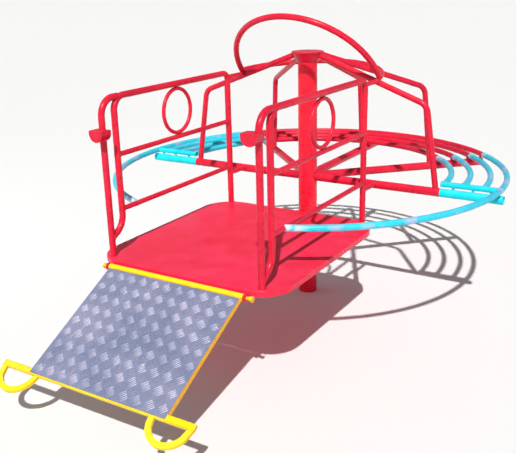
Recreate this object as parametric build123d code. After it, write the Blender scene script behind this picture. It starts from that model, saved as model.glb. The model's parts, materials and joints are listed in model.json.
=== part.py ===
from build123d import *
import os
from math import acos, asin, atan2, cos, degrees, radians, sin, sqrt

# Wheelchair roundabout: a ground post that stays still, a rotor that spins on it, and a ramp hinged to
# the rotor. Millimetres. The origin is on the post's axis at ground level, +Z is up, and the ramp
# points along -Y.

# ---- Driving dimensions ---------------------------------------------------------------------------
POST_R = 57.15          # 4 inch pipe: ground post and rotor sleeve
POST_WALL = 6.0
POST_BOTTOM = -181.0    # end of the stub that is set in the ground
POST_TOP = 54.0
SLEEVE_BOTTOM = 60.0
HUB_TOP = 1333.0

MAIN_R = 16.85          # 1 inch pipe: rails, hangers, seat tubes, hoop
LIGHT_R = 13.35         # 3/4 inch pipe: middle and low rails, links
SPOKE_R = 24.15         # 1 1/2 inch pipe: spokes
ORNAMENT_ROD_R = 10.65  # 1/2 inch pipe: rings in the side rails
TUBE_WALL = 3.0

DECK_TOP = 400.0
DECK_WIDTH = 1100.0
DECK_FRONT_Y = -1345.0
DECK_REAR_Y = -158.0
DECK_CORNER = 180.0
DECK_LIP = 30.0
SHEET = 4.0

RAIL_X = 450.0
FRONT_POST_Y = -1293.0
INNER_POST_Y = -1200.0
REAR_POST_Y = -184.0
TOP_RAIL_Z = 1209.0
MID_RAIL_Z = 916.0
LOW_RAIL_Z = 630.0
ORNAMENT_Y = -690.0

SPOKE_Z = 579.0
SEAT_Z = 630.0
SEAT_RADII = (858.0, 966.0, 1078.0)
GUARD_R = 1168.0
PAINT_CHANGE_R = 840.0  # red spoke ends here and the cyan seat end arm begins
PAINT_CHANGE_ANGLE = 43.0   # the seat tubes are cyan from here to their ends
ARM_END_R = 1190.0

HANGER_HUB = (70.0, 1316.0)
BACK_BEND = (755.0, 1082.0)
END_BEND = (738.0, 1064.0)
HANGER_BEND_RADIUS = 70.0
HANGER_FOOT_R = 814.0

HINGE_Y = -1373.0
HINGE_Z = 377.0
PIN_R = 8.0
RUNNING_GAP = 0.08
RAMP_HALF_WIDTH = 390.0
RAMP_LENGTH = 668.0     # hinge axis to the tread plate's lower edge, along the slope
FOOT_BAR_END = 676.0
HANDLE_REACH = 787.0    # hinge axis to the far edge of the handles' bows
FRAME_TOP = 10.0        # ramp frame above and below the hinge axis, square to the ramp
FRAME_BOTTOM = -5.0

CUT_SLACK = 1.0         # how far a cutting tool runs past the face that it opens

SIDES = {"left": -1, "right": 1}
BACK_ANGLES = {"back_right": 45.0, "back": 90.0, "back_left": 135.0}
END_ANGLES = {"right": 0.0, "left": 180.0}


# ---- Helpers --------------------------------------------------------------------------------------
def rod(path, radius):
    """A solid round bar along a path."""
    return sweep(Plane(origin=path @ 0, z_dir=path % 0) * Circle(radius), path=path)


def tube(path, radius, wall=TUBE_WALL):
    """A hollow round tube along a path, and the solid envelope that its neighbours are cut by."""
    envelope = rod(path, radius)
    return envelope - rod(path, radius - wall), envelope


def disc(radius, bottom, top, bore=0.0):
    """An upright disc or ring on the post's axis."""
    ring = Pos(0, 0, bottom) * extrude(Circle(radius), top - bottom)
    if bore:
        ring -= Pos(0, 0, bottom - CUT_SLACK) * extrude(Circle(bore), top - bottom + 2 * CUT_SLACK)
    return ring


def box_between(low, high):
    """A box from its lowest corner to its highest corner."""
    size = [b - a for a, b in zip(low, high)]
    middle = [(a + b) / 2 for a, b in zip(low, high)]
    return Pos(*middle) * Box(*size)


def polar(radius, angle, z):
    """A point at a radius and an angle round the post's axis."""
    return (radius * cos(radians(angle)), radius * sin(radians(angle)), z)


def flat_arc(radius, start, end, z):
    """A level arc round the post's axis, counter-clockwise from one angle to another."""
    middle = (start + end) / 2
    return ThreePointArc(polar(radius, start, z), polar(radius, middle, z), polar(radius, end, z))


def largest(shape):
    """The main solid of a cut tube, without the slivers that the cut leaves."""
    return max(shape.solids(), key=lambda solid: solid.volume)


def write(name, *shapes):
    """Write one node: its separate solids in one STEP file."""
    solids = [solid for shape in shapes for solid in shape.solids()]
    node = solids[0] if len(solids) == 1 else Compound(children=solids)
    export_step(node, f"parts/{name}.step")


# ---- Ground post, spindle and bearings -------------------------------------------------------------
CLOSING_PLATE = 10.0
EDGE_CHAMFER = 2.0
SPINDLE_R = 30.0
SPINDLE_NECK_R = 20.0
SPINDLE_SHOULDER = 1262.0
SPINDLE_TOP = 1298.0
WASHER_THICKNESS = 5.0
NUT_CORNER_R = 32.0
NUT_HEIGHT = 24.0
SPACER_R = 36.0

SLEEVE_BORE_R = POST_R - POST_WALL
INNER_RACE_R = 37.5
OUTER_RACE_BORE_R = 43.5
RACE_HEIGHT = 22.0
BEARING_BOTTOMS = (76.0, SPINDLE_SHOULDER - RACE_HEIGHT)
BALL_CIRCLE_R = 40.5
BALL_R = 6.0
BALL_CLEARANCE = 0.1
BALL_COUNT = 14


def make_ground_post():
    """The fixed pipe with its closing plate, open at the buried end."""
    plate_bottom = POST_TOP - CLOSING_PLATE
    pipe = disc(POST_R, POST_BOTTOM, plate_bottom, bore=POST_R - POST_WALL)
    plate = disc(POST_R, plate_bottom, POST_TOP)
    write("ground_post", chamfer((pipe + plate).edges().group_by(Axis.Z)[-1], EDGE_CHAMFER))


def make_spindle():
    """The still shaft, with its spacer, washer and nut."""
    shaft = disc(SPINDLE_R, POST_TOP, SPINDLE_SHOULDER)
    shaft += disc(SPINDLE_NECK_R, SPINDLE_SHOULDER, SPINDLE_TOP)
    write("spindle", chamfer(shaft.edges().group_by(Axis.Z)[-1], EDGE_CHAMFER))
    write("spindle_spacer", disc(SPACER_R, POST_TOP, BEARING_BOTTOMS[0], bore=SPINDLE_R))
    washer_top = SPINDLE_SHOULDER + WASHER_THICKNESS
    write("spindle_washer", disc(SPACER_R, SPINDLE_SHOULDER, washer_top, bore=SPINDLE_NECK_R))
    nut = Pos(0, 0, washer_top) * extrude(RegularPolygon(NUT_CORNER_R, 6), NUT_HEIGHT)
    thread_hole = disc(SPINDLE_NECK_R, washer_top - CUT_SLACK, washer_top + NUT_HEIGHT + CUT_SLACK)
    write("spindle_nut", nut - thread_hole)


def make_bearings():
    """Two ball bearings: inner races on the spindle, outer races in the sleeve."""
    inner, outer, balls = [], [], []
    ball_angles = [360 / BALL_COUNT * i for i in range(BALL_COUNT)]
    for bottom in BEARING_BOTTOMS:
        top = bottom + RACE_HEIGHT
        middle = bottom + RACE_HEIGHT / 2
        groove = Pos(0, 0, middle) * Torus(BALL_CIRCLE_R, BALL_R + BALL_CLEARANCE)
        inner.append(disc(INNER_RACE_R, bottom, top, bore=SPINDLE_R) - groove)
        outer.append(disc(SLEEVE_BORE_R, bottom, top, bore=OUTER_RACE_BORE_R) - groove)
        balls += [Pos(*polar(BALL_CIRCLE_R, angle, middle)) * Sphere(BALL_R) for angle in ball_angles]
    write("bearing_inner_races", *inner)
    write("bearing_outer_races", *outer)
    write("bearing_balls", *balls)


# ---- Rotor core -----------------------------------------------------------------------------------
CAP_R = 95.0
CAP_THICKNESS = 8.0
CAP_ROUND = 2.5
CAP_BOTTOM = HUB_TOP - CAP_THICKNESS
COLLAR_BOTTOM = 1274.0
COLLAR_FOOT_R = POST_R + 4
COLLAR_TOP_R = 92.0
BEARING_SEAT_HEIGHT = 12.0
BEARING_SEAT_BORE_R = 45.0
SEAL_HEIGHT = 8.0
SEAL_GAP = 0.5
BOLT_CIRCLE_R = 74.0
BOLT_R = 5.0
BOLT_DEPTH = 22.0       # below the cap's underside
BOLT_HEAD_R = 9.0
BOLT_HEAD_DEPTH = 4.0
BOLT_SOCKET_R = 3.5
BOLT_SOCKET_DEPTH = 3.0
BOLT_PLACES = [polar(BOLT_CIRCLE_R, 22.5 + 90 * i, CAP_BOTTOM - BOLT_DEPTH) for i in range(4)]

sleeve_envelope = disc(POST_R, SLEEVE_BOTTOM, CAP_BOTTOM)
collar_middle = (COLLAR_BOTTOM + CAP_BOTTOM) / 2
collar_cone = Pos(0, 0, collar_middle) * Cone(COLLAR_FOOT_R, COLLAR_TOP_R, CAP_BOTTOM - COLLAR_BOTTOM)
hub_envelope = sleeve_envelope + collar_cone + disc(CAP_R, CAP_BOTTOM, HUB_TOP)


def bearing_seat(bottom):
    """A ring inside the sleeve that a bearing's outer race butts against."""
    return disc(SLEEVE_BORE_R, bottom, bottom + BEARING_SEAT_HEIGHT, bore=BEARING_SEAT_BORE_R)


def cap_bolt(place):
    """A countersunk bolt through the cap into the collar, flush with the cap."""
    shank = Pos(*place) * extrude(Circle(BOLT_R), BOLT_DEPTH + CAP_THICKNESS)
    head = Pos(place[0], place[1], HUB_TOP - BOLT_HEAD_DEPTH / 2) * Cone(BOLT_R, BOLT_HEAD_R, BOLT_HEAD_DEPTH)
    return shank + head


def bolt_socket(place):
    """The hexagon socket in a cap bolt's head."""
    return Pos(place[0], place[1], HUB_TOP) * extrude(RegularPolygon(BOLT_SOCKET_R, 6), -BOLT_SOCKET_DEPTH)


def make_rotor_core():
    """The sleeve that turns, its bearing seats and seal, and the hub."""
    write("sleeve", sleeve_envelope - disc(SLEEVE_BORE_R, SLEEVE_BOTTOM - CUT_SLACK, CAP_BOTTOM + CUT_SLACK))
    low_bearing, high_bearing = BEARING_BOTTOMS
    seats = [bearing_seat(low_bearing + RACE_HEIGHT), bearing_seat(high_bearing - BEARING_SEAT_HEIGHT)]
    write("bearing_seats", *seats)
    seal_top = SLEEVE_BOTTOM + SEAL_HEIGHT
    write("dust_seal", disc(SLEEVE_BORE_R, SLEEVE_BOTTOM, seal_top, bore=SPACER_R + SEAL_GAP))
    bolts = [cap_bolt(place) for place in BOLT_PLACES]
    write("hub_collar", collar_cone - sleeve_envelope - bolts)
    cap = disc(CAP_R, CAP_BOTTOM, HUB_TOP)
    write("hub_cap", fillet(cap.edges(), CAP_ROUND) - bolts)
    write("hub_cap_bolts", *[bolt - bolt_socket(place) for bolt, place in zip(bolts, BOLT_PLACES)])


# ---- Spokes and hangers -----------------------------------------------------------------------------
SPOKE_ROOT_R = 30.0     # inside the sleeve, which cuts the spokes to length
BACK_SPOKE_END_R = 1180.0


def spoke(angle, start, end):
    """One level tube that points away from the sleeve."""
    return tube(Line(polar(start, angle, SPOKE_Z), polar(end, angle, SPOKE_Z)), SPOKE_R)


def hanger(angle, bend):
    """One tube from the hub out to a bend and down to its spoke."""
    corners = [polar(HANGER_HUB[0], angle, HANGER_HUB[1]), polar(bend[0], angle, bend[1]),
               polar(HANGER_FOOT_R, angle, SPOKE_Z)]
    return tube(FilletPolyline(*corners, radius=HANGER_BEND_RADIUS), MAIN_R)


spokes = {name: spoke(angle, SPOKE_ROOT_R, BACK_SPOKE_END_R) for name, angle in BACK_ANGLES.items()}
spokes |= {name: spoke(angle, SPOKE_ROOT_R, PAINT_CHANGE_R) for name, angle in END_ANGLES.items()}
arms = {name: spoke(angle, PAINT_CHANGE_R, ARM_END_R) for name, angle in END_ANGLES.items()}
hangers = {name: hanger(angle, BACK_BEND) for name, angle in BACK_ANGLES.items()}
hangers |= {name: hanger(angle, END_BEND) for name, angle in END_ANGLES.items()}


# ---- Hand hoop --------------------------------------------------------------------------------------
HOOP_R = 457.0
HOOP_LEAN = 41.5        # degrees forward from upright
HOOP_FOOT_Z = 1203.0
HOOP_FOOT_DROP = 6.0    # how far the hoop's feet sink towards the hangers
BACK_ARC_RISE = 376.0
BACK_ARC_TILT = 5.2


def tilted_arc(rise, lift, foot_drop=0.0):
    """An arc between the two end hangers that bulges by rise, lift degrees up from +Y."""
    top = (0, rise * cos(radians(lift)), HOOP_FOOT_Z + rise * sin(radians(lift)))
    return ThreePointArc((-HOOP_R, 0, HOOP_FOOT_Z - foot_drop), top, (HOOP_R, 0, HOOP_FOOT_Z - foot_drop))


back_arc, back_arc_envelope = tube(tilted_arc(BACK_ARC_RISE, BACK_ARC_TILT), MAIN_R)
hoop, hoop_envelope = tube(tilted_arc(HOOP_R, 90 + HOOP_LEAN, HOOP_FOOT_DROP), MAIN_R)
hoop_envelope -= back_arc_envelope


def make_spokes_and_hangers():
    """Five spokes, five hangers, the two cyan end arms and the hand hoop."""
    neighbours = [spokes[name][1] for name in ("left", "back", "right")]
    for name in ("left", "back", "right"):
        write(f"spoke_{name}", spokes[name][0] - sleeve_envelope)
    for name in ("back_left", "back_right"):
        write(f"spoke_{name}", largest(spokes[name][0] - sleeve_envelope - neighbours))
    write("seat_end_arms", *[piece for piece, _ in arms.values()])
    for name, (piece, _) in hangers.items():
        write(f"hanger_{name}", largest(piece - hub_envelope - spokes[name][1] - back_arc_envelope))
    end_hangers = [hangers[name][1] for name in END_ANGLES]
    write("hoop_back_arc", back_arc)
    write("hand_hoop", largest(hoop - back_arc_envelope - end_hangers))


# ---- Side rails -------------------------------------------------------------------------------------
FOOT_TURN_ZS = {"left": 497.0, "right": 430.0}  # where the main rail leaves the front post
FOOT_BEND_ZS = {"left": 540.0, "right": 495.0}  # where it turns upright
FOOT_BEND = 100.0
FRONT_BEND = 72.0
REAR_BEND = 45.0
POST_BEND = 88.0
POST_HOOK_END_Y = -1168.0
POST_FOOT_HEIGHT = 320.0
TOP_LINK_Z = 1183.0
LOW_LINK_ZS = (590.0, 584.0)    # at the rail and at the spoke


def main_rail(x, foot_turn_z, foot_bend_z):
    """The tube that curves off the front post, goes up, back along the top and down to the deck."""
    corners = [(x, FRONT_POST_Y, foot_turn_z), (x, INNER_POST_Y, foot_bend_z), (x, INNER_POST_Y, TOP_RAIL_Z),
               (x, REAR_POST_Y, TOP_RAIL_Z), (x, REAR_POST_Y, DECK_TOP)]
    return tube(FilletPolyline(*corners, radius=[FOOT_BEND, FRONT_BEND, REAR_BEND]), MAIN_R)


def front_post(x):
    """The post at the mouth of the bay, which hooks back into the top rail."""
    corners = [(x, FRONT_POST_Y, DECK_TOP), (x, FRONT_POST_Y, TOP_RAIL_Z), (x, POST_HOOK_END_Y, TOP_RAIL_Z)]
    return tube(FilletPolyline(*corners, radius=POST_BEND), MAIN_R)


def cross_rail(x, start_y, end_y, start_z, end_z):
    """A light rail or link along the side."""
    return tube(Line((x, start_y, start_z), (x, end_y, end_z)), LIGHT_R)


ornament_space = (TOP_RAIL_Z - MAIN_R) - (MID_RAIL_Z + LIGHT_R)
ornament_z = MID_RAIL_Z + LIGHT_R + ornament_space / 2
CATCH_TOPS = {"left": 1065.0, "right": 1128.0}
CATCH_X = 438.0
CATCH_WIDTH = 86.0
CATCH_STRAIGHT = 14.0
CATCH_FRONT_Y = -1359.0
CATCH_ROUND = 3.0


def ramp_catch(x, top):
    """The half-round lug on the front post: flat on top, round below."""
    half = CATCH_WIDTH / 2
    hanging = (Align.CENTER, Align.MAX)
    half_disc = Circle(half) & Rectangle(CATCH_WIDTH, half, align=hanging)
    outline = Rectangle(CATCH_WIDTH, CATCH_STRAIGHT, align=hanging) + Pos(0, -CATCH_STRAIGHT) * half_disc
    face = Plane(origin=(x, CATCH_FRONT_Y, top), x_dir=(1, 0, 0), z_dir=(0, -1, 0))
    lug = extrude(face * outline, FRONT_POST_Y - CATCH_FRONT_Y, dir=(0, 1, 0))
    return fillet(lug.edges().group_by(Axis.Y)[0], CATCH_ROUND)


low_rails = {name: cross_rail(side * RAIL_X, INNER_POST_Y, REAR_POST_Y, LOW_RAIL_Z, LOW_RAIL_Z)
             for name, side in SIDES.items()}


def make_side_rails():
    """Both sides: main rail, front post, two light rails, the ring ornament, links and ramp catch."""
    middle_rails, low_pieces, catches, top_links, low_links = [], [], [], [], []
    for name, side in SIDES.items():
        x = side * RAIL_X
        rail, rail_envelope = main_rail(x, FOOT_TURN_ZS[name], FOOT_BEND_ZS[name])
        post, post_envelope = front_post(x)
        post_foot = Pos(x, FRONT_POST_Y, DECK_TOP) * extrude(Circle(MAIN_R), POST_FOOT_HEIGHT)
        rail_envelope -= post_foot
        middle, _ = cross_rail(x, INNER_POST_Y, REAR_POST_Y, MID_RAIL_Z, MID_RAIL_Z)
        write(f"main_rail_{name}", rail - post_foot)
        write(f"front_post_{name}", post - rail_envelope)
        middle_rails.append(middle - rail_envelope)
        low_pieces.append(low_rails[name][0] - rail_envelope)
        ring_plane = Plane(origin=(x, ORNAMENT_Y, ornament_z), z_dir=(1, 0, 0))
        write(f"rail_ring_{name}", ring_plane * Torus(ornament_space / 2 - ORNAMENT_ROD_R, ORNAMENT_ROD_R))
        catches.append(largest(ramp_catch(side * CATCH_X, CATCH_TOPS[name]) - post_envelope))
        link, _ = cross_rail(x, REAR_POST_Y, 0, TOP_LINK_Z, TOP_LINK_Z)
        top_links.append(largest(link - rail_envelope - hangers[name][1] - hoop_envelope - back_arc_envelope))
        link, _ = cross_rail(x, REAR_POST_Y, 0, *LOW_LINK_ZS)
        low_links.append(largest(link - rail_envelope - spokes[name][1]))
    write("middle_rails", *middle_rails)
    write("low_rails", *low_pieces)
    write("ramp_catches", *catches)
    write("top_links", *top_links)
    write("low_links", *low_links)


# ---- Seat and guard ring ------------------------------------------------------------------------------
left_change = 180 - PAINT_CHANGE_ANGLE
SEAT_SECTIONS = {"right": (0, PAINT_CHANGE_ANGLE), "back": (PAINT_CHANGE_ANGLE, left_change),
                 "left": (left_change, 180)}
RISER_R = 8.0
RISER_SINK = 3.0        # how far a riser's ends reach into the tubes, before they are coped
RISER_FOOT_Z = SPOKE_Z + SPOKE_R - RISER_SINK
END_BAR_START = 842.0
END_BAR_R = 16.0
END_BAR_OVERLAP = 4.0   # the seat tubes reach to this far from the end bars' middle
END_RISER_RADII = (912.0, 1022.0, 1122.0)
end_bars = {name: tube(Line(polar(END_BAR_START, angle, SEAT_Z), polar(GUARD_R, angle, SEAT_Z)), END_BAR_R)
            for name, angle in END_ANGLES.items()}
guard_end = degrees(acos(RAIL_X / GUARD_R))
GUARD_SECTIONS = {"right": (-guard_end, PAINT_CHANGE_ANGLE), "back": (PAINT_CHANGE_ANGLE, left_change),
                  "left": (left_change, 180 + guard_end)}


def riser(radius, angle):
    """A short upright bar between a spoke and the tube above it."""
    top = SEAT_Z - MAIN_R + RISER_SINK
    return Pos(*polar(radius, angle, RISER_FOOT_Z)) * extrude(Circle(RISER_R), top - RISER_FOOT_Z)


def make_seat_tubes():
    """Three bent seat tubes, in painted sections."""
    for name, (start, end) in SEAT_SECTIONS.items():
        pieces = []
        for radius in SEAT_RADII:
            inset = degrees(asin(END_BAR_OVERLAP / radius))
            first = start + inset if start == END_ANGLES["right"] else start
            last = end - inset if end == END_ANGLES["left"] else end
            piece, _ = tube(flat_arc(radius, first, last, SEAT_Z), MAIN_R)
            if name in end_bars:
                piece = largest(piece - end_bars[name][1])
            pieces.append(piece)
        write(f"seat_tubes_{name}", *pieces)


def make_guard_ring():
    """The outer ring in painted sections, and the bars that close the seat's two ends."""
    guard_envelopes = []
    for name, (start, end) in GUARD_SECTIONS.items():
        piece, envelope = tube(flat_arc(GUARD_R, start, end, SEAT_Z), MAIN_R)
        guard_envelopes.append(envelope)
        if name in low_rails:
            piece -= low_rails[name][1]
        write(f"guard_ring_{name}", piece)
    bars = [largest(piece - guard_envelopes - hangers[name][1]) for name, (piece, _) in end_bars.items()]
    write("seat_end_bars", *bars)


def make_risers():
    """The risers under the seat tubes, the guard ring and the two end bars."""
    risers = []
    for name, angle in BACK_ANGLES.items():
        for radius in (*SEAT_RADII, GUARD_R):
            ring = Pos(0, 0, SEAT_Z) * Torus(radius, MAIN_R)
            risers.append(riser(radius, angle) - spokes[name][1] - ring)
    write("seat_risers", *risers)
    end_risers = []
    for name, angle in END_ANGLES.items():
        for radius in END_RISER_RADII:
            end_risers.append(riser(radius, angle) - arms[name][1] - end_bars[name][1])
    write("seat_end_risers", *end_risers)


# ---- Deck -----------------------------------------------------------------------------------------------
DECK_EDGE_ROUND = 5.0
BEAM_X = 60.0
BEAM_WIDTH = 40.0
BEAM_FRONT_Y = -1160.0
MEMBER_HALF_LENGTH = 460.0
MEMBER_WIDTH = 50.0
MEMBER_HEIGHT = 50.0
MEMBER_YS = (-1210.0, -750.0, -250.0)
deck_length = DECK_REAR_Y - DECK_FRONT_Y
deck_middle_y = (DECK_FRONT_Y + DECK_REAR_Y) / 2
deck_underside = DECK_TOP - SHEET
beam_top = deck_underside - MEMBER_HEIGHT


def box_tube(low, high, wall=TUBE_WALL):
    """A rectangular tube along its longest side, open at both ends."""
    size = [b - a for a, b in zip(low, high)]
    along = size.index(max(size))
    inset = [-CUT_SLACK if i == along else wall for i in range(3)]
    hole_low = [a + step for a, step in zip(low, inset)]
    hole_high = [b - step for b, step in zip(high, inset)]
    return box_between(low, high) - box_between(hole_low, hole_high)


def make_deck():
    """The pressed deck sheet, its cross members and the two beams that hold it to the sleeve."""
    outline = RectangleRounded(DECK_WIDTH, deck_length, DECK_CORNER)
    inside = RectangleRounded(DECK_WIDTH - 2 * SHEET, deck_length - 2 * SHEET, DECK_CORNER - SHEET)
    slab = Pos(0, deck_middle_y, DECK_TOP) * extrude(outline, -DECK_LIP)
    slab = fillet(slab.edges().group_by(Axis.Z)[-1], DECK_EDGE_ROUND)
    tray = Pos(0, deck_middle_y, deck_underside) * extrude(inside, -DECK_LIP)
    write("deck_plate", slab - tray)
    members = []
    for y in MEMBER_YS:
        low = (-MEMBER_HALF_LENGTH, y - MEMBER_WIDTH / 2, beam_top)
        high = (MEMBER_HALF_LENGTH, y + MEMBER_WIDTH / 2, deck_underside)
        members.append(box_tube(low, high))
    write("deck_cross_members", *members)
    beams = []
    for side in SIDES.values():
        left, right = side * BEAM_X - BEAM_WIDTH / 2, side * BEAM_X + BEAM_WIDTH / 2
        beam = box_tube((left, BEAM_FRONT_Y, beam_top - MEMBER_HEIGHT), (right, 0, beam_top))
        beams.append(beam - sleeve_envelope)
    write("deck_beams", *beams)


# ---- Hinge ----------------------------------------------------------------------------------------------
LUG_X = 411.0
LUG_THICKNESS = 12.0
LUG_R = 19.0
LUG_TOP = 384.0
BARREL_HALF = 401.0
PIN_LEFT = -432.0
PIN_RIGHT = 424.0
PIN_HEAD_R = 14.0
PIN_HEAD_THICKNESS = 12.0
KNOB_FOOT_R = 9.0
KNOB_END_R = 15.0
KNOB_LENGTH = 26.0
HARDWARE_ROUND = 2.0


def across(length, radius, x, y=HINGE_Y, z=HINGE_Z):
    """A round bar along X, starting at x, on the hinge axis unless told otherwise."""
    return Plane(origin=(x, y, z), z_dir=(1, 0, 0)) * extrude(Circle(radius), length)


def make_hinge():
    """The two lugs on the deck's front lip, the pin and its knob."""
    lugs = []
    for side in SIDES.values():
        x = side * LUG_X - LUG_THICKNESS / 2
        web = box_between((x, HINGE_Y, HINGE_Z - LUG_R), (x + LUG_THICKNESS, DECK_FRONT_Y, LUG_TOP))
        eye = across(LUG_THICKNESS + 2 * CUT_SLACK, PIN_R, x - CUT_SLACK)
        lugs.append(across(LUG_THICKNESS, LUG_R, x) + web - eye)
    write("hinge_lugs", *lugs)
    head = across(PIN_HEAD_THICKNESS, PIN_HEAD_R, PIN_LEFT - PIN_HEAD_THICKNESS)
    write("hinge_pin", across(PIN_RIGHT - PIN_LEFT, PIN_R, PIN_LEFT) + chamfer(head.edges(), HARDWARE_ROUND))
    knob = Pos(0, 0, KNOB_LENGTH / 2) * Cone(KNOB_FOOT_R, KNOB_END_R, KNOB_LENGTH)
    knob_plane = Plane(origin=(PIN_RIGHT, HINGE_Y, HINGE_Z), z_dir=(1, 0, 0))
    write("hinge_pin_knob", knob_plane * fillet(knob.edges(), HARDWARE_ROUND))


# ---- Ramp -------------------------------------------------------------------------------------------------
# The ramp is drawn flat, with the hinge axis at its origin and its foot along -Y, and then laid on its
# slope so that the handles' bows just touch the ground.
reach = sqrt(HANDLE_REACH ** 2 + FRAME_BOTTOM ** 2)
slope = degrees(asin(HINGE_Z / reach) + atan2(FRAME_BOTTOM, HANDLE_REACH))
ramp_place = Pos(0, HINGE_Y, HINGE_Z) * Rot(slope, 0, 0)
BARREL_R = MAIN_R
PLATE_THICKNESS = 3.0
PLATE_TO_BARREL = 1.5
FOOT_BAR_WIDTH = 30.0
FOOT_BAR_ROUND = 2.0
SIDE_BAR_WIDTH = 26.0
SIDE_BAR_X = RAMP_HALF_WIDTH - SIDE_BAR_WIDTH / 2
SIDE_BAR_BOTTOM = -14.0
STIFFENER_X = 130.0
STIFFENER_WIDTH = 20.0
HANDLE_BAR = 27.0       # flat bar that the bows are bent from
HANDLE_INNER_XS = {"left": 345.0, "right": 327.0}   # middle of the bow's inner foot
HANDLE_OUTER_XS = {"left": 562.0, "right": 536.0}   # ends of the foot bar
SHOULDER_INSET = 12.0   # the bow ends in a shoulder, this far inside its outer foot
SHOULDER_REACH = 720.0
BOW_SHIFT = 6.0         # the bow's lowest point is off the handle's middle

ramp_barrel = across(2 * BARREL_HALF, BARREL_R, -BARREL_HALF, 0, 0)
foot_bar_start = -(FOOT_BAR_END - FOOT_BAR_WIDTH)
foot_bar = box_between((-HANDLE_OUTER_XS["left"], -FOOT_BAR_END, FRAME_BOTTOM),
                       (HANDLE_OUTER_XS["right"], foot_bar_start, FRAME_TOP))
foot_bar = fillet(foot_bar.edges().filter_by(Axis.X), FOOT_BAR_ROUND)


def ramp_bar(x, width, bottom):
    """A flat bar down the ramp at x, coped to the barrel."""
    bar = box_between((x - width / 2, foot_bar_start, bottom), (x + width / 2, 0, FRAME_TOP))
    return ramp_place * (bar - ramp_barrel)


def make_ramp_frame():
    """The hinge barrel, side bars, foot bar and stiffeners under the tread plate."""
    bore = across(2 * (BARREL_HALF + CUT_SLACK), PIN_R + RUNNING_GAP, -BARREL_HALF - CUT_SLACK, 0, 0)
    write("ramp_hinge_barrel", ramp_place * (ramp_barrel - bore))
    write("ramp_foot_bar", ramp_place * foot_bar)
    side_bars = [ramp_bar(side * SIDE_BAR_X, SIDE_BAR_WIDTH, SIDE_BAR_BOTTOM) for side in SIDES.values()]
    write("ramp_side_bars", *side_bars)
    stiffeners = [ramp_bar(side * STIFFENER_X, STIFFENER_WIDTH, FRAME_BOTTOM) for side in SIDES.values()]
    write("ramp_stiffeners", *stiffeners)


def make_ramp_plate():
    """The tread plate, which lies on the frame and ends just short of the barrel."""
    plate = box_between((-RAMP_HALF_WIDTH, -RAMP_LENGTH, FRAME_TOP),
                        (RAMP_HALF_WIDTH, -BARREL_R - PLATE_TO_BARREL, FRAME_TOP + PLATE_THICKNESS))
    write("ramp_tread_plate", ramp_place * plate)


def make_ramp_handles():
    """The bow handles on the foot bar's two ends, bent from flat bar."""
    start = -(FOOT_BAR_END - FOOT_BAR_ROUND)
    lowest = -(HANDLE_REACH - HANDLE_BAR / 2)
    for name, side in SIDES.items():
        inner_x = HANDLE_INNER_XS[name]
        outer_x = HANDLE_OUTER_XS[name] - HANDLE_BAR / 2
        lowest_x = (inner_x + outer_x) / 2 - BOW_SHIFT
        shoulder = (side * (outer_x - SHOULDER_INSET), -SHOULDER_REACH)
        bow = ThreePointArc((side * inner_x, start), (side * lowest_x, lowest), shoulder)
        arm = Line(shoulder, (side * outer_x, start))
        outline = trace(bow, HANDLE_BAR) + trace(arm, HANDLE_BAR) + Pos(*shoulder) * Circle(HANDLE_BAR / 2)
        handle = Pos(0, 0, FRAME_BOTTOM) * extrude(outline, FRAME_TOP - FRAME_BOTTOM)
        write(f"ramp_handle_{name}", ramp_place * largest(handle - foot_bar))


os.makedirs("parts", exist_ok=True)
make_ground_post()
make_spindle()
make_bearings()
make_rotor_core()
make_spokes_and_hangers()
make_side_rails()
make_seat_tubes()
make_guard_ring()
make_risers()
make_deck()
make_hinge()
make_ramp_frame()
make_ramp_plate()
make_ramp_handles()
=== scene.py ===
"""Looks of the wheelchair roundabout: paint, bare metal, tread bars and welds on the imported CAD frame."""
import json
import random
from math import cos, pi, radians, sin, tan

import bmesh
import bpy
from mathutils import Matrix, Vector
from mathutils.bvhtree import BVHTree


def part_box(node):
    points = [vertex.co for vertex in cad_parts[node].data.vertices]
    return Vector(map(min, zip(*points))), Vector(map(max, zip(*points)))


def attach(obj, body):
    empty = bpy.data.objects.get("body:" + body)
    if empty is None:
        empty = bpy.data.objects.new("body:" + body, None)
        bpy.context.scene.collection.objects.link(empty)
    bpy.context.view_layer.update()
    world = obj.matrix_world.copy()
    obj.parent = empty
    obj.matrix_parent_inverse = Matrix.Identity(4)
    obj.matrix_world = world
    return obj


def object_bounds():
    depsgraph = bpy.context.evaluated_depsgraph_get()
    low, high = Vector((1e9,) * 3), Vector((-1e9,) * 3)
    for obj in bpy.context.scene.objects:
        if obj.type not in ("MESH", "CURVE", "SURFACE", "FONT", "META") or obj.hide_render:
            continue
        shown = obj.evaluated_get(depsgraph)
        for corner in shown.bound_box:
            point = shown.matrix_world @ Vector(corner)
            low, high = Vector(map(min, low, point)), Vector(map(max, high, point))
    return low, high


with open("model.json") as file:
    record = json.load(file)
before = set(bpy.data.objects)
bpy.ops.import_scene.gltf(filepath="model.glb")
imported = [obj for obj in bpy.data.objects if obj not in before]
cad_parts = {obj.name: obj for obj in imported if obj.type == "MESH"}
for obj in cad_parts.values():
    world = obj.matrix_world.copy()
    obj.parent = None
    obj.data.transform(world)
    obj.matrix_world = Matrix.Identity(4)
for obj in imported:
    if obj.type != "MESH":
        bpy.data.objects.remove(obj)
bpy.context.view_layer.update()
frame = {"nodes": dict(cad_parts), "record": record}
slots = {part["node"]: part["material_slot"] for part in frame["record"]["subparts"]}
random.seed(11)


# ---- Camera, light and floor ---------------------------------------------------------------------------
CAMERA_PLACE = Vector((2.120, -3.994, 1.761))
CAMERA_YAW = radians(-32.26)
CAMERA_PITCH = radians(18.45)
CAMERA_ROLL = radians(-1.44)
LENS = 52.5
SENSOR_WIDTH = 36
SHIFT = (0.0075, 0.0)

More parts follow.
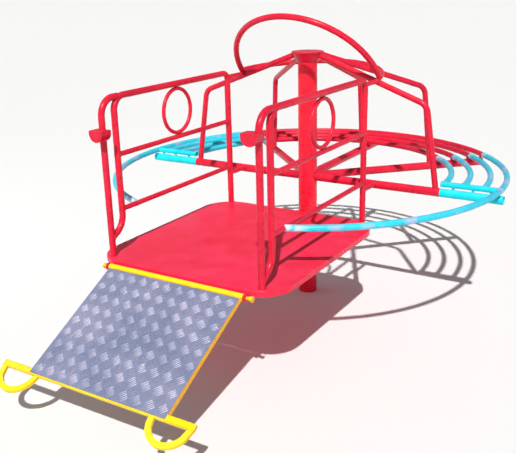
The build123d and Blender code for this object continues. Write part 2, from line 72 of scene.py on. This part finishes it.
MIDDLE = (0, -0.6, 0.5)             # what the lights point at
SUN_PLACE = (0.40, -1.39, 1.5)      # only its direction from the middle counts
SUN_STRENGTH = 4.0
SUN_ANGLE = radians(1.0)
SUN_COLOUR = (1.0, 0.99, 0.97)
FILL_PLACE = (-4.5, -2.0, 2.6)
FILL_SIZE = 3.0
FILL_POWER = 20
FILL_COLOUR = (0.94, 0.97, 1.0)
SKY_COLOUR = (0.95, 0.97, 1.0)
HORIZON_STRENGTH = 0.7
OVERHEAD_STRENGTH = 0.20
FADE_FROM, FADE_TO = 0.05, 0.28     # heights of the view direction between which the sky darkens
FLOOR_HALF = 250.0
FLOOR_GREY = 0.84
FLOOR_ROUGHNESS = 0.9


def add_to_scene(item):
    bpy.context.scene.collection.objects.link(item)


def make_camera():
    """A camera in front of the ramp and to its right, looking down a little."""
    ahead = Vector((sin(CAMERA_YAW), cos(CAMERA_YAW), 0))
    level = Vector((cos(CAMERA_YAW), -sin(CAMERA_YAW), 0))
    forward = ahead * cos(CAMERA_PITCH) + Vector((0, 0, -sin(CAMERA_PITCH)))
    above = level.cross(forward)
    right = level * cos(CAMERA_ROLL) + above * sin(CAMERA_ROLL)
    up = above * cos(CAMERA_ROLL) - level * sin(CAMERA_ROLL)
    data = bpy.data.cameras.new("camera")
    data.lens = LENS
    data.sensor_width = SENSOR_WIDTH
    data.shift_x, data.shift_y = SHIFT
    camera = bpy.data.objects.new("camera", data)
    camera.matrix_world = Matrix.Translation(CAMERA_PLACE) @ Matrix((right, up, -forward)).transposed().to_4x4()
    add_to_scene(camera)
    bpy.context.scene.camera = camera


def add_light(name, kind, place, strength, colour):
    """A light of one kind that points at the middle of the object."""
    data = bpy.data.lights.new(name, kind)
    data.energy = strength
    data.color = colour
    light = bpy.data.objects.new(name, data)
    light.location = place
    light.rotation_euler = (Vector(MIDDLE) - Vector(place)).to_track_quat("-Z", "Y").to_euler()
    add_to_scene(light)
    return data


def make_sky():
    """A sky that is white at the horizon and darker overhead."""
    world = bpy.data.worlds.new("sky")
    bpy.context.scene.world = world
    world.use_nodes = True
    tree = world.node_tree
    background = tree.nodes["Background"]
    background.inputs["Color"].default_value = (*SKY_COLOUR, 1)
    direction = tree.nodes.new("ShaderNodeSeparateXYZ")
    tree.links.new(tree.nodes.new("ShaderNodeTexCoord").outputs["Generated"], direction.inputs["Vector"])
    fade = tree.nodes.new("ShaderNodeMapRange")
    tree.links.new(direction.outputs["Z"], fade.inputs["Value"])
    for name, value in (("From Min", FADE_FROM), ("From Max", FADE_TO),
                        ("To Min", HORIZON_STRENGTH), ("To Max", OVERHEAD_STRENGTH)):
        fade.inputs[name].default_value = value
    tree.links.new(fade.outputs["Result"], background.inputs["Strength"])


def make_floor():
    """A wide pale floor at the foot of the ground post."""
    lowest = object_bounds()[0].z
    corners = [(x * FLOOR_HALF, y * FLOOR_HALF, lowest) for x, y in ((-1, -1), (1, -1), (1, 1), (-1, 1))]
    mesh = bpy.data.meshes.new("floor")
    mesh.from_pydata(corners, [], [(0, 1, 2, 3)])
    material = bpy.data.materials.new("floor")
    material.use_nodes = True
    shader = material.node_tree.nodes["Principled BSDF"]
    shader.inputs["Base Color"].default_value = (FLOOR_GREY, FLOOR_GREY, FLOOR_GREY, 1)
    shader.inputs["Roughness"].default_value = FLOOR_ROUGHNESS
    mesh.materials.append(material)
    floor = bpy.data.objects.new("floor", mesh)
    add_to_scene(floor)


def make_stage():
    """A pale sky and floor, a sun from the front and a soft fill from the left."""
    bpy.context.scene.view_settings.view_transform = "Standard"
    make_sky()
    add_light("sun", "SUN", SUN_PLACE, SUN_STRENGTH, SUN_COLOUR).angle = SUN_ANGLE
    add_light("fill", "AREA", FILL_PLACE, FILL_POWER, FILL_COLOUR).size = FILL_SIZE
    make_floor()


# ---- Material helpers ----------------------------------------------------------------------------------
class Nodes:
    """A short way to build a material's node tree."""

    def __init__(self, name):
        self.material = bpy.data.materials.new(name)
        self.material.use_nodes = True
        self.tree = self.material.node_tree
        self.shader = self.tree.nodes["Principled BSDF"]
        coordinates = self.tree.nodes.new("ShaderNodeTexCoord")
        self.place = coordinates.outputs["Object"]
        self.normal = coordinates.outputs["Normal"]     # object space, so the paint turns with its body

    def link(self, source, node, socket):
        self.tree.links.new(source, node.inputs[socket])

    def stretched(self, scale):
        """Object coordinates with a scale of their own on each axis."""
        node = self.tree.nodes.new("ShaderNodeMapping")
        node.inputs["Scale"].default_value = scale
        self.link(self.place, node, "Vector")
        return node.outputs["Vector"]

    def noise(self, scale, detail=4, roughness=0.55, vector=None):
        """Cloudy noise from 0 to 1, mostly near 0.5."""
        node = self.tree.nodes.new("ShaderNodeTexNoise")
        node.inputs["Scale"].default_value = scale
        node.inputs["Detail"].default_value = detail
        node.inputs["Roughness"].default_value = roughness
        self.link(vector or self.place, node, "Vector")
        return node.outputs["Fac"]

    def window(self, value, low, high, to_low=0.0, to_high=1.0):
        """Value from low..high mapped to to_low..to_high, and held outside."""
        node = self.tree.nodes.new("ShaderNodeMapRange")
        node.inputs["From Min"].default_value = low
        node.inputs["From Max"].default_value = high
        node.inputs["To Min"].default_value = to_low
        node.inputs["To Max"].default_value = to_high
        self.link(value, node, "Value")
        return node.outputs["Result"]

    def maths(self, operation, a, b=None):
        """A Math node, whose inputs are sockets or plain numbers."""
        node = self.tree.nodes.new("ShaderNodeMath")
        node.operation = operation
        for i, value in enumerate((a, b)):
            if value is None:
                continue
            if isinstance(value, (int, float)):
                node.inputs[i].default_value = value
            else:
                self.link(value, node, i)
        return node.outputs["Value"]

    def mix(self, factor, a, b):
        """Colour a where factor is 0 and b where it is 1."""
        node = self.tree.nodes.new("ShaderNodeMix")
        node.data_type = "RGBA"     # its colour sockets share names with others, so they are taken by place
        sockets = {"Factor": node.inputs[0], "A": node.inputs[6], "B": node.inputs[7]}
        for name, value in (("Factor", factor), ("A", a), ("B", b)):
            if isinstance(value, (tuple, list)):
                sockets[name].default_value = (*value, 1)
            elif isinstance(value, (int, float)):
                sockets[name].default_value = value
            else:
                self.tree.links.new(value, sockets[name])
        return node.outputs[2]

    def axis(self, vector, name):
        """The X, Y or Z of a vector."""
        node = self.tree.nodes.new("ShaderNodeSeparateXYZ")
        self.link(vector, node, "Vector")
        return node.outputs[name]

    def bump(self, height, strength, distance, below=None):
        """A bumped normal, on top of another one if given."""
        node = self.tree.nodes.new("ShaderNodeBump")
        node.inputs["Strength"].default_value = strength
        node.inputs["Distance"].default_value = distance
        self.link(height, node, "Height")
        if below is not None:
            self.link(below, node, "Normal")
        return node.outputs["Normal"]


PAINT_CHANGE = tan(radians(43))     # y over |x| where the seat and guard tubes turn from cyan to red
HIGHLIGHT_END, HIGHLIGHT_FADE = 0.021, 0.027  # how far back from the guard ring's front the painted highlight reaches, then fades


def pale_and_highlit(n, tone, pale):
    """Seat and guard tubes: ragged pale paint beside the red stretches, and a ragged painted highlight at the
    guard ring's front ends.
    """
    y = n.axis(n.place, "Y")
    turn = n.maths("DIVIDE", y, n.maths("ABSOLUTE", n.axis(n.place, "X")))
    beside_red = n.window(turn, PAINT_CHANGE - 0.09, PAINT_CHANGE - 0.01)
    # Painted highlight: a short pale stretch at the guard ring's front ends stands in for the light on them.
    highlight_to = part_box("guard_ring_left")[0].y + HIGHLIGHT_END
    front_highlight = n.window(y, highlight_to, highlight_to + HIGHLIGHT_FADE, 1.0, 0.0)
    ragged = n.window(n.noise(30.0, 4), 0.34, 0.56)
    mask = n.maths("MULTIPLY", n.maths("MAXIMUM", beside_red, front_highlight), ragged)
    return n.mix(n.maths("MULTIPLY", mask, 0.85), tone, pale)


def enamel(name, colour, shade, sun_faded, chip, wear=0.5, dust=0.25, side_shade=None, patches=None, pale_and_highlight=None):
    """Sprayed enamel on steel: patchy tone, orange peel, dust on top, small chips and rubbed spots.

    The last three colours are a painted shade for steep faces, one for blotches and one for the pale stretches
    and painted highlight.
    """
    n = Nodes(name)
    broad = n.noise(2.3, 3)
    fine = n.noise(38.0, 5)
    tone = n.mix(n.window(broad, 0.35, 0.68), shade, colour)
    tone = n.mix(n.maths("MULTIPLY", n.window(fine, 0.45, 0.75), 0.12), tone, sun_faded)
    if patches:
        patchy = n.window(n.noise(8.0, 5, 0.65), 0.53, 0.62)
        tone = n.mix(n.maths("MULTIPLY", patchy, 0.75), tone, patches)
    if pale_and_highlight:
        tone = pale_and_highlit(n, tone, pale_and_highlight)
    if side_shade:
        # Painted shade: steep faces take the darker side colour, as if they stood in shadow.
        steep = n.window(n.maths("ABSOLUTE", n.axis(n.normal, "Z")), 0.0, 0.6, 1.0, 0.0)
        tone = n.mix(steep, tone, side_shade)
    upward = n.window(n.axis(n.normal, "Z"), 0.25, 0.95)
    dusty = n.maths("MULTIPLY", upward, n.window(n.noise(9.0, 6), 0.40, 0.72, 0.15, 1.0))
    tone = n.mix(n.maths("MULTIPLY", dusty, dust), tone, sun_faded)
    speck = n.window(n.noise(150.0, 3, 0.6), 0.705 - 0.03 * wear, 0.725 - 0.03 * wear)
    chipped = n.maths("MULTIPLY", speck, n.window(n.noise(14.0, 3), 0.52, 0.60))
    n.link(n.mix(chipped, tone, chip), n.shader, "Base Color")
    gloss = n.window(fine, 0.3, 0.7, 0.24, 0.38)
    gloss = n.maths("ADD", gloss, n.maths("MULTIPLY", dusty, 0.22))
    n.link(n.maths("ADD", gloss, n.maths("MULTIPLY", chipped, 0.3)), n.shader, "Roughness")
    peel = n.bump(n.noise(420.0, 2), 0.12, 0.0006)
    n.link(n.bump(n.maths("SUBTRACT", 1.0, chipped), 0.5, 0.0004, peel), n.shader, "Normal")
    n.shader.inputs["Specular IOR Level"].default_value = 0.22
    n.shader.inputs["Coat Weight"].default_value = 0.06
    n.shader.inputs["Coat Roughness"].default_value = 0.10
    return n.material


RED = (0.76, 0.012, 0.040)
RED_SHADE = (0.56, 0.007, 0.032)
RED_FADED = (0.84, 0.070, 0.14)
MAST_RED = (0.87, 0.007, 0.026)
DECK_RED = (0.88, 0.022, 0.084)
CYAN = (0.01, 0.68, 0.80)
CYAN_SHADE = (0.03, 0.46, 0.66)
CYAN_FADED = (0.22, 0.78, 0.86)
CYAN_PATCHES = (0.42, 0.44, 0.72)
# Pale paint beside the red stretches, and the painted highlight at the guard ring's front ends.
CYAN_PALE = (0.70, 0.74, 0.88)
TURQUOISE = (0.0, 0.82, 0.86)
TURQUOISE_SHADE = (0.0, 0.60, 0.72)
YELLOW = (0.95, 0.76, 0.002)
YELLOW_SHADE = (0.93, 0.62, 0.002)
# Painted shade: the yellow frame's steep faces take this orange, as if in shadow.
YELLOW_SIDE_SHADE = (0.86, 0.40, 0.004)
YELLOW_FADED = (0.98, 0.86, 0.16)
PRIMER = (0.20, 0.045, 0.04)
GRIME = (0.12, 0.10, 0.08)
PLATE_DULL, PLATE_BRIGHT = (0.19, 0.225, 0.375), (0.30, 0.315, 0.465)
DULL_BARS = ((0.22, 0.245, 0.375), (0.32, 0.32, 0.45))
BRIGHT_BARS = ((0.25, 0.265, 0.39), (0.44, 0.41, 0.52))
SCUFFED = (0.58, 0.56, 0.68)
SCRATCHED = (0.70, 0.69, 0.80)
STEEL_DARK, STEEL_LIGHT = (0.42, 0.42, 0.43), (0.62, 0.62, 0.63)
RUBBER_DARK, RUBBER_LIGHT = (0.015, 0.015, 0.016), (0.045, 0.045, 0.046)


def tread_metal(name, dull, bright, roughness):
    """Mill-finish aluminium: soft streaks, scuffs and a few long scratches down the slope.

    It is bluish and only partly metallic, in place of the blue sky that it would reflect.
    """
    n = Nodes(name)
    streaks = n.noise(5.0, 6, 0.6)
    scuffs = n.noise(55.0, 4, 0.6, n.stretched((1.0, 4.0, 4.0)))
    tone = n.mix(n.window(streaks, 0.38, 0.66), dull, bright)
    tone = n.mix(n.maths("MULTIPLY", n.window(scuffs, 0.55, 0.72), 0.3), tone, SCUFFED)
    scratch = n.window(n.noise(15.0, 2, 0.5, n.stretched((9.0, 0.5, 0.5))), 0.69, 0.71)
    tone = n.mix(n.maths("MULTIPLY", scratch, 0.35), tone, SCRATCHED)
    n.link(tone, n.shader, "Base Color")
    n.link(n.window(scuffs, 0.3, 0.7, roughness + 0.12, roughness), n.shader, "Roughness")
    n.shader.inputs["Metallic"].default_value = 0.35
    n.link(n.bump(scuffs, 0.15, 0.0004), n.shader, "Normal")
    return n.material


def worked_steel():
    """Turned steel with fine rings and a little grease."""
    n = Nodes("worked_steel")
    turning = n.noise(260.0, 3, 0.6, n.stretched((0.4, 0.4, 6.0)))
    n.link(n.mix(turning, STEEL_DARK, STEEL_LIGHT), n.shader, "Base Color")
    n.link(n.window(turning, 0.3, 0.7, 0.22, 0.4), n.shader, "Roughness")
    n.shader.inputs["Metallic"].default_value = 1.0
    n.link(n.bump(turning, 0.1, 0.0002), n.shader, "Normal")
    return n.material


def seal_rubber():
    """Matte black rubber with a faint mottle."""
    n = Nodes("seal_rubber")
    mottle = n.noise(90.0, 4)
    n.link(n.mix(mottle, RUBBER_DARK, RUBBER_LIGHT), n.shader, "Base Color")
    n.link(n.window(mottle, 0.3, 0.7, 0.6, 0.8), n.shader, "Roughness")
    return n.material


def paint_frame():
    """Give every CAD node the finish of its slot, or one of its own, and return the slots' finishes."""
    finishes = {
        "red_paint": enamel("red_enamel", RED, RED_SHADE, RED_FADED, PRIMER),
        "deck_paint": enamel("deck_enamel", DECK_RED, RED, RED_FADED, PRIMER, wear=0.9, dust=0.45),
        "cyan_paint": enamel("cyan_enamel", CYAN, CYAN_SHADE, CYAN_FADED, RED, wear=0.4,
                             patches=CYAN_PATCHES, pale_and_highlight=CYAN_PALE),
        "yellow_paint": enamel("yellow_enamel", YELLOW, YELLOW_SHADE, YELLOW_FADED, GRIME, wear=0.8,
                               side_shade=YELLOW_SIDE_SHADE),
        "tread_plate": tread_metal("tread_metal", PLATE_DULL, PLATE_BRIGHT, 0.50),
        "machined_steel": worked_steel(),
        "zinc_steel": worked_steel(),
        "seal_rubber": seal_rubber(),
    }
    fresh_cyan = enamel("fresh_cyan_enamel", TURQUOISE, TURQUOISE_SHADE, CYAN_FADED, RED, wear=0.3)
    mast = enamel("mast_enamel", MAST_RED, RED, RED_FADED, PRIMER)
    own_finishes = {"seat_end_arms": fresh_cyan, "seat_end_bars": fresh_cyan, "seat_end_risers": fresh_cyan,
                    "sleeve": mast, "ground_post": mast}
    for name, node in frame["nodes"].items():
        finish = own_finishes.get(name, finishes[slots[name]])
        if not node.material_slots:
            node.data.materials.append(finish)
        for material_slot in node.material_slots:
            material_slot.material = finish
    return finishes


# ---- Pieces built in mesh code -------------------------------------------------------------------------
def add_piece(name, vertices, faces, body, slot, finish):
    """A smooth-shaded mesh object that rides on one body."""
    mesh = bpy.data.meshes.new(name)
    mesh.from_pydata(vertices, [], faces)
    mesh.polygons.foreach_set("use_smooth", [True] * len(mesh.polygons))
    mesh.materials.append(finish)
    piece = bpy.data.objects.new(name, mesh)
    add_to_scene(piece)
    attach(piece, body)


BAR_PITCH = 0.051       # from one group of bars to the next, along the diagonals
BARS = 5                # in each group
BAR_SPACING = 0.0098
BAR_HALF_LENGTH = 0.0215
BAR_HALF_WIDTH = 0.0042
BAR_HEIGHT = 0.0018
BAR_END = 0.06          # width of a bar's ends, as a share of its middle
BAR_SINK = 0.15         # share of its height that a bar's foot sinks into the plate
BAR_RINGS = 7
BAR_SIDES = 5
PLATE_MARGIN = 0.006    # left clear of bars along the plate's edges


def tread_bar(middle, along, across, up, vertices, faces):
    """One raised bar: a long lens with pointed ends and a round top."""
    first = len(vertices)
    for i in range(BAR_RINGS):
        t = -1 + 2 * i / (BAR_RINGS - 1)
        taper = max(BAR_END, (1 - t * t) ** 0.5)
        for j in range(BAR_SIDES):
            turn = pi * j / (BAR_SIDES - 1)
            offset = across * (cos(turn) * BAR_HALF_WIDTH * taper)
            offset += up * ((sin(turn) * taper - BAR_SINK) * BAR_HEIGHT)
            vertices.append(middle + along * (t * BAR_HALF_LENGTH) + offset)
    for i in range(BAR_RINGS - 1):
        for j in range(BAR_SIDES - 1):
            a = first + i * BAR_SIDES + j
            faces.append((a, a + 1, a + BAR_SIDES + 1, a + BAR_SIDES))


def make_tread_bars():
    """Five-bar tread: groups of bars at 45 degrees to the plate's edges, each group square to its neighbours.

    The groups of one direction have a brighter material, in place of the glint they would have in the sun.
    """
    node = frame["nodes"]["ramp_tread_plate"]
    corners = [node.matrix_world @ vertex.co for vertex in node.data.vertices]
    top = max(node.data.polygons, key=lambda face: (face.normal.z > 0.5) * face.area)
    up = (node.matrix_world.to_3x3() @ top.normal).normalized()
    sideways = Vector((1, 0, 0))
    downhill = sideways.cross(up)
    if downhill.z > 0:
        downhill = -downhill
    across = [corner.dot(sideways) for corner in corners]
    down = [corner.dot(downhill) for corner in corners]
    centre = sideways * (min(across) + max(across)) / 2 + downhill * (min(down) + max(down)) / 2
    centre += up * (node.matrix_world @ top.center).dot(up)
    half_x = (max(across) - min(across)) / 2 - PLATE_MARGIN
    half_y = (max(down) - min(down)) / 2 - PLATE_MARGIN
    reach = BAR_HALF_LENGTH * sin(pi / 4)
    one, two = (sideways + downhill).normalized(), (sideways - downhill).normalized()
    bright_set, dull_set = ([], []), ([], [])
    count = int(2 * max(half_x, half_y) / BAR_PITCH) + 1
    for i in range(-count, count + 1):
        for j in range(-count, count + 1):
            along, beside, chosen = (one, two, dull_set) if (i + j) % 2 else (two, one, bright_set)
            for k in range(BARS):
                offset = (one * i + two * j) * BAR_PITCH + beside * ((k - (BARS - 1) / 2) * BAR_SPACING)
                if abs(offset.dot(sideways)) + reach > half_x or abs(offset.dot(downhill)) + reach > half_y:
                    continue
                tread_bar(centre + offset, along, beside, up, *chosen)
    add_piece("tread_bars_dull", *dull_set, "ramp", "tread_plate", tread_metal("dull_bars", *DULL_BARS, 0.46))
    add_piece("tread_bars_bright", *bright_set, "ramp", "tread_plate",
              tread_metal("bright_bars", *BRIGHT_BARS, 0.40))


# Tubes and plates are welded where one node's face lies on another node. Pieces that turn, slide or screw
# are left out, and so are the joins where one tube only changes its colour.
NOT_WELDED = ("bearing", "spindle", "dust", "hub_cap", "hinge_pin")
ONE_TUBE = (("guard_ring", "guard_ring"), ("seat_tubes", "seat_tubes"), ("seat_end_arms", "spoke"),
            ("spoke", "seat_end_arms"))
BOX_GAP = 0.001         # boxes further apart than this hold no seam
SEARCH = 0.002          # how far to look for the other node's surface
TOUCH = 0.0003          # a face this close to the other node lies on it
FACING = -0.7           # cosine between two faces that meet
SHORTEST_SEAM = 0.04
OPEN_END = 0.02         # a longer gap between a seam's two ends means that it isn't closed
SAME_PLACE = 0.012      # seams with centres closer than this are one tube's inner and outer edges
BEAD_STEP = 0.0018
BEAD_RIPPLE = 0.0052
BEAD_R = 0.0027
THIN_BEAD_R = BEAD_R * 0.8
THIN_BEAD_SEAM = 0.095  # shorter seams have the thin bead
BEAD_SIDES = 7


def length_of(chain):
    return sum((a - b).length for a, b in zip(chain, chain[1:]))


def chains_of(links):
    """Walk a map of vertices to their neighbours as chains of points."""
    left = set(links)
    for start in sorted(links, key=lambda vertex: vertex.index):
        if start not in left:
            continue
        chain = []
        step = start
        while step is not None:
            left.discard(step)
            chain.append(step.co.copy())
            step = next((other for other in links[step] if other in left), None)
        yield chain


def seams_between(shape, tree):
    """Closed loops round the faces of one shape that lie against another, the longest at each place."""
    touching = set()
    for face in shape.faces:
        spot, normal, _, gap = tree.find_nearest(face.calc_center_median(), SEARCH)
        if spot is not None and gap < TOUCH and face.normal.dot(normal) < FACING:
            touching.add(face.index)
    links = {}
    for edge in shape.edges:
        if len(edge.link_faces) == 2 and sum(face.index in touching for face in edge.link_faces) == 1:
            a, b = edge.verts
            links.setdefault(a, []).append(b)
            links.setdefault(b, []).append(a)
    loops = [chain for chain in chains_of(links)
             if length_of(chain) > SHORTEST_SEAM and (chain[0] - chain[-1]).length < OPEN_END]
    kept = []
    for chain in sorted(loops, key=length_of, reverse=True):
        centre = sum(chain, Vector()) / len(chain)
        if all((centre - other).length > SAME_PLACE for other, _ in kept):
            kept.append((centre, chain))
    return [chain for _, chain in kept]


def evenly(chain, step):
    """Points at an even spacing round a closed chain, lightly smoothed."""
    closed = chain + [chain[0]]
    total = length_of(closed)
    count = max(12, round(total / step))
    points = []
    walked, i = 0.0, 0
    for k in range(count):
        target = total * k / count
        while walked + (closed[i + 1] - closed[i]).length < target:
            walked += (closed[i + 1] - closed[i]).length
            i += 1
        span = (closed[i + 1] - closed[i]).length or 1
        points.append(closed[i].lerp(closed[i + 1], (target - walked) / span))
    for _ in range(2):
        points = [(points[k - 1] + points[k] * 2 + points[(k + 1) % count]) / 4 for k in range(count)]
    return points


def bead(chain, radius, vertices, faces):
    """A rippled weld bead along a closed chain of points."""
    points = evenly(chain, BEAD_STEP)
    count = len(points)
    first = len(vertices)
    phase = random.random() * pi            # where the ripples start
    for k, point in enumerate(points):
        forward = (points[(k + 1) % count] - points[k - 1]).normalized()
        side = forward.orthogonal() if k == 0 else side - forward * side.dot(forward)
        side.normalize()
        other = forward.cross(side)
        ripple = 0.80 + 0.26 * abs(sin(pi * k * BEAD_STEP / BEAD_RIPPLE + phase)) + random.uniform(-0.04, 0.04)
        for j in range(BEAD_SIDES):
            turn = 2 * pi * j / BEAD_SIDES
            vertices.append(point + (side * cos(turn) + other * sin(turn)) * (radius * ripple))
    for k in range(count):
        for j in range(BEAD_SIDES):
            a, b = first + k * BEAD_SIDES, first + (k + 1) % count * BEAD_SIDES
            faces.append((a + j, a + (j + 1) % BEAD_SIDES, b + (j + 1) % BEAD_SIDES, b + j))


def merged_shape(node):
    """A copy of a node's mesh in world space, with the vertices that its faces should share merged."""
    shape = bmesh.new()
    shape.from_mesh(node.data)
    shape.transform(node.matrix_world)
    bmesh.ops.remove_doubles(shape, verts=shape.verts, dist=2e-5)
    shape.normal_update()
    return shape


def may_be_welded(name, other, boxes):
    """Whether two nodes aren't one tube and their boxes come close enough to touch."""
    if name == other or any(name.startswith(a) and other.startswith(b) for a, b in ONE_TUBE):
        return False
    (low, high), (other_low, other_high) = boxes[name], boxes[other]
    return all(low[i] <= other_high[i] + BOX_GAP and other_low[i] <= high[i] + BOX_GAP for i in range(3))


def make_welds(finishes):
    """Weld beads on every seam of the frame, one object for each body and paint."""
    for body, members in frame["record"]["behaviour"]["bodies"].items():
        members = [name for name in members if not name.startswith(NOT_WELDED)]
        shapes = {name: merged_shape(frame["nodes"][name]) for name in members}
        trees = {name: BVHTree.FromBMesh(shape) for name, shape in shapes.items()}
        boxes = {name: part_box(name) for name in members}
        beads = {}
        for name in members:
            for other in members:
                if not may_be_welded(name, other, boxes):
                    continue
                for chain in seams_between(shapes[name], trees[other]):
                    radius = THIN_BEAD_R if length_of(chain) < THIN_BEAD_SEAM else BEAD_R
                    bead(chain, radius, *beads.setdefault(slots[name], ([], [])))
        for slot, (vertices, faces) in beads.items():
            add_piece(f"welds_{body}_{slot}", vertices, faces, body, slot, finishes[slot])
        for shape in shapes.values():
            shape.free()


make_camera()
make_stage()
finishes = paint_frame()
make_tread_bars()
make_welds(finishes)
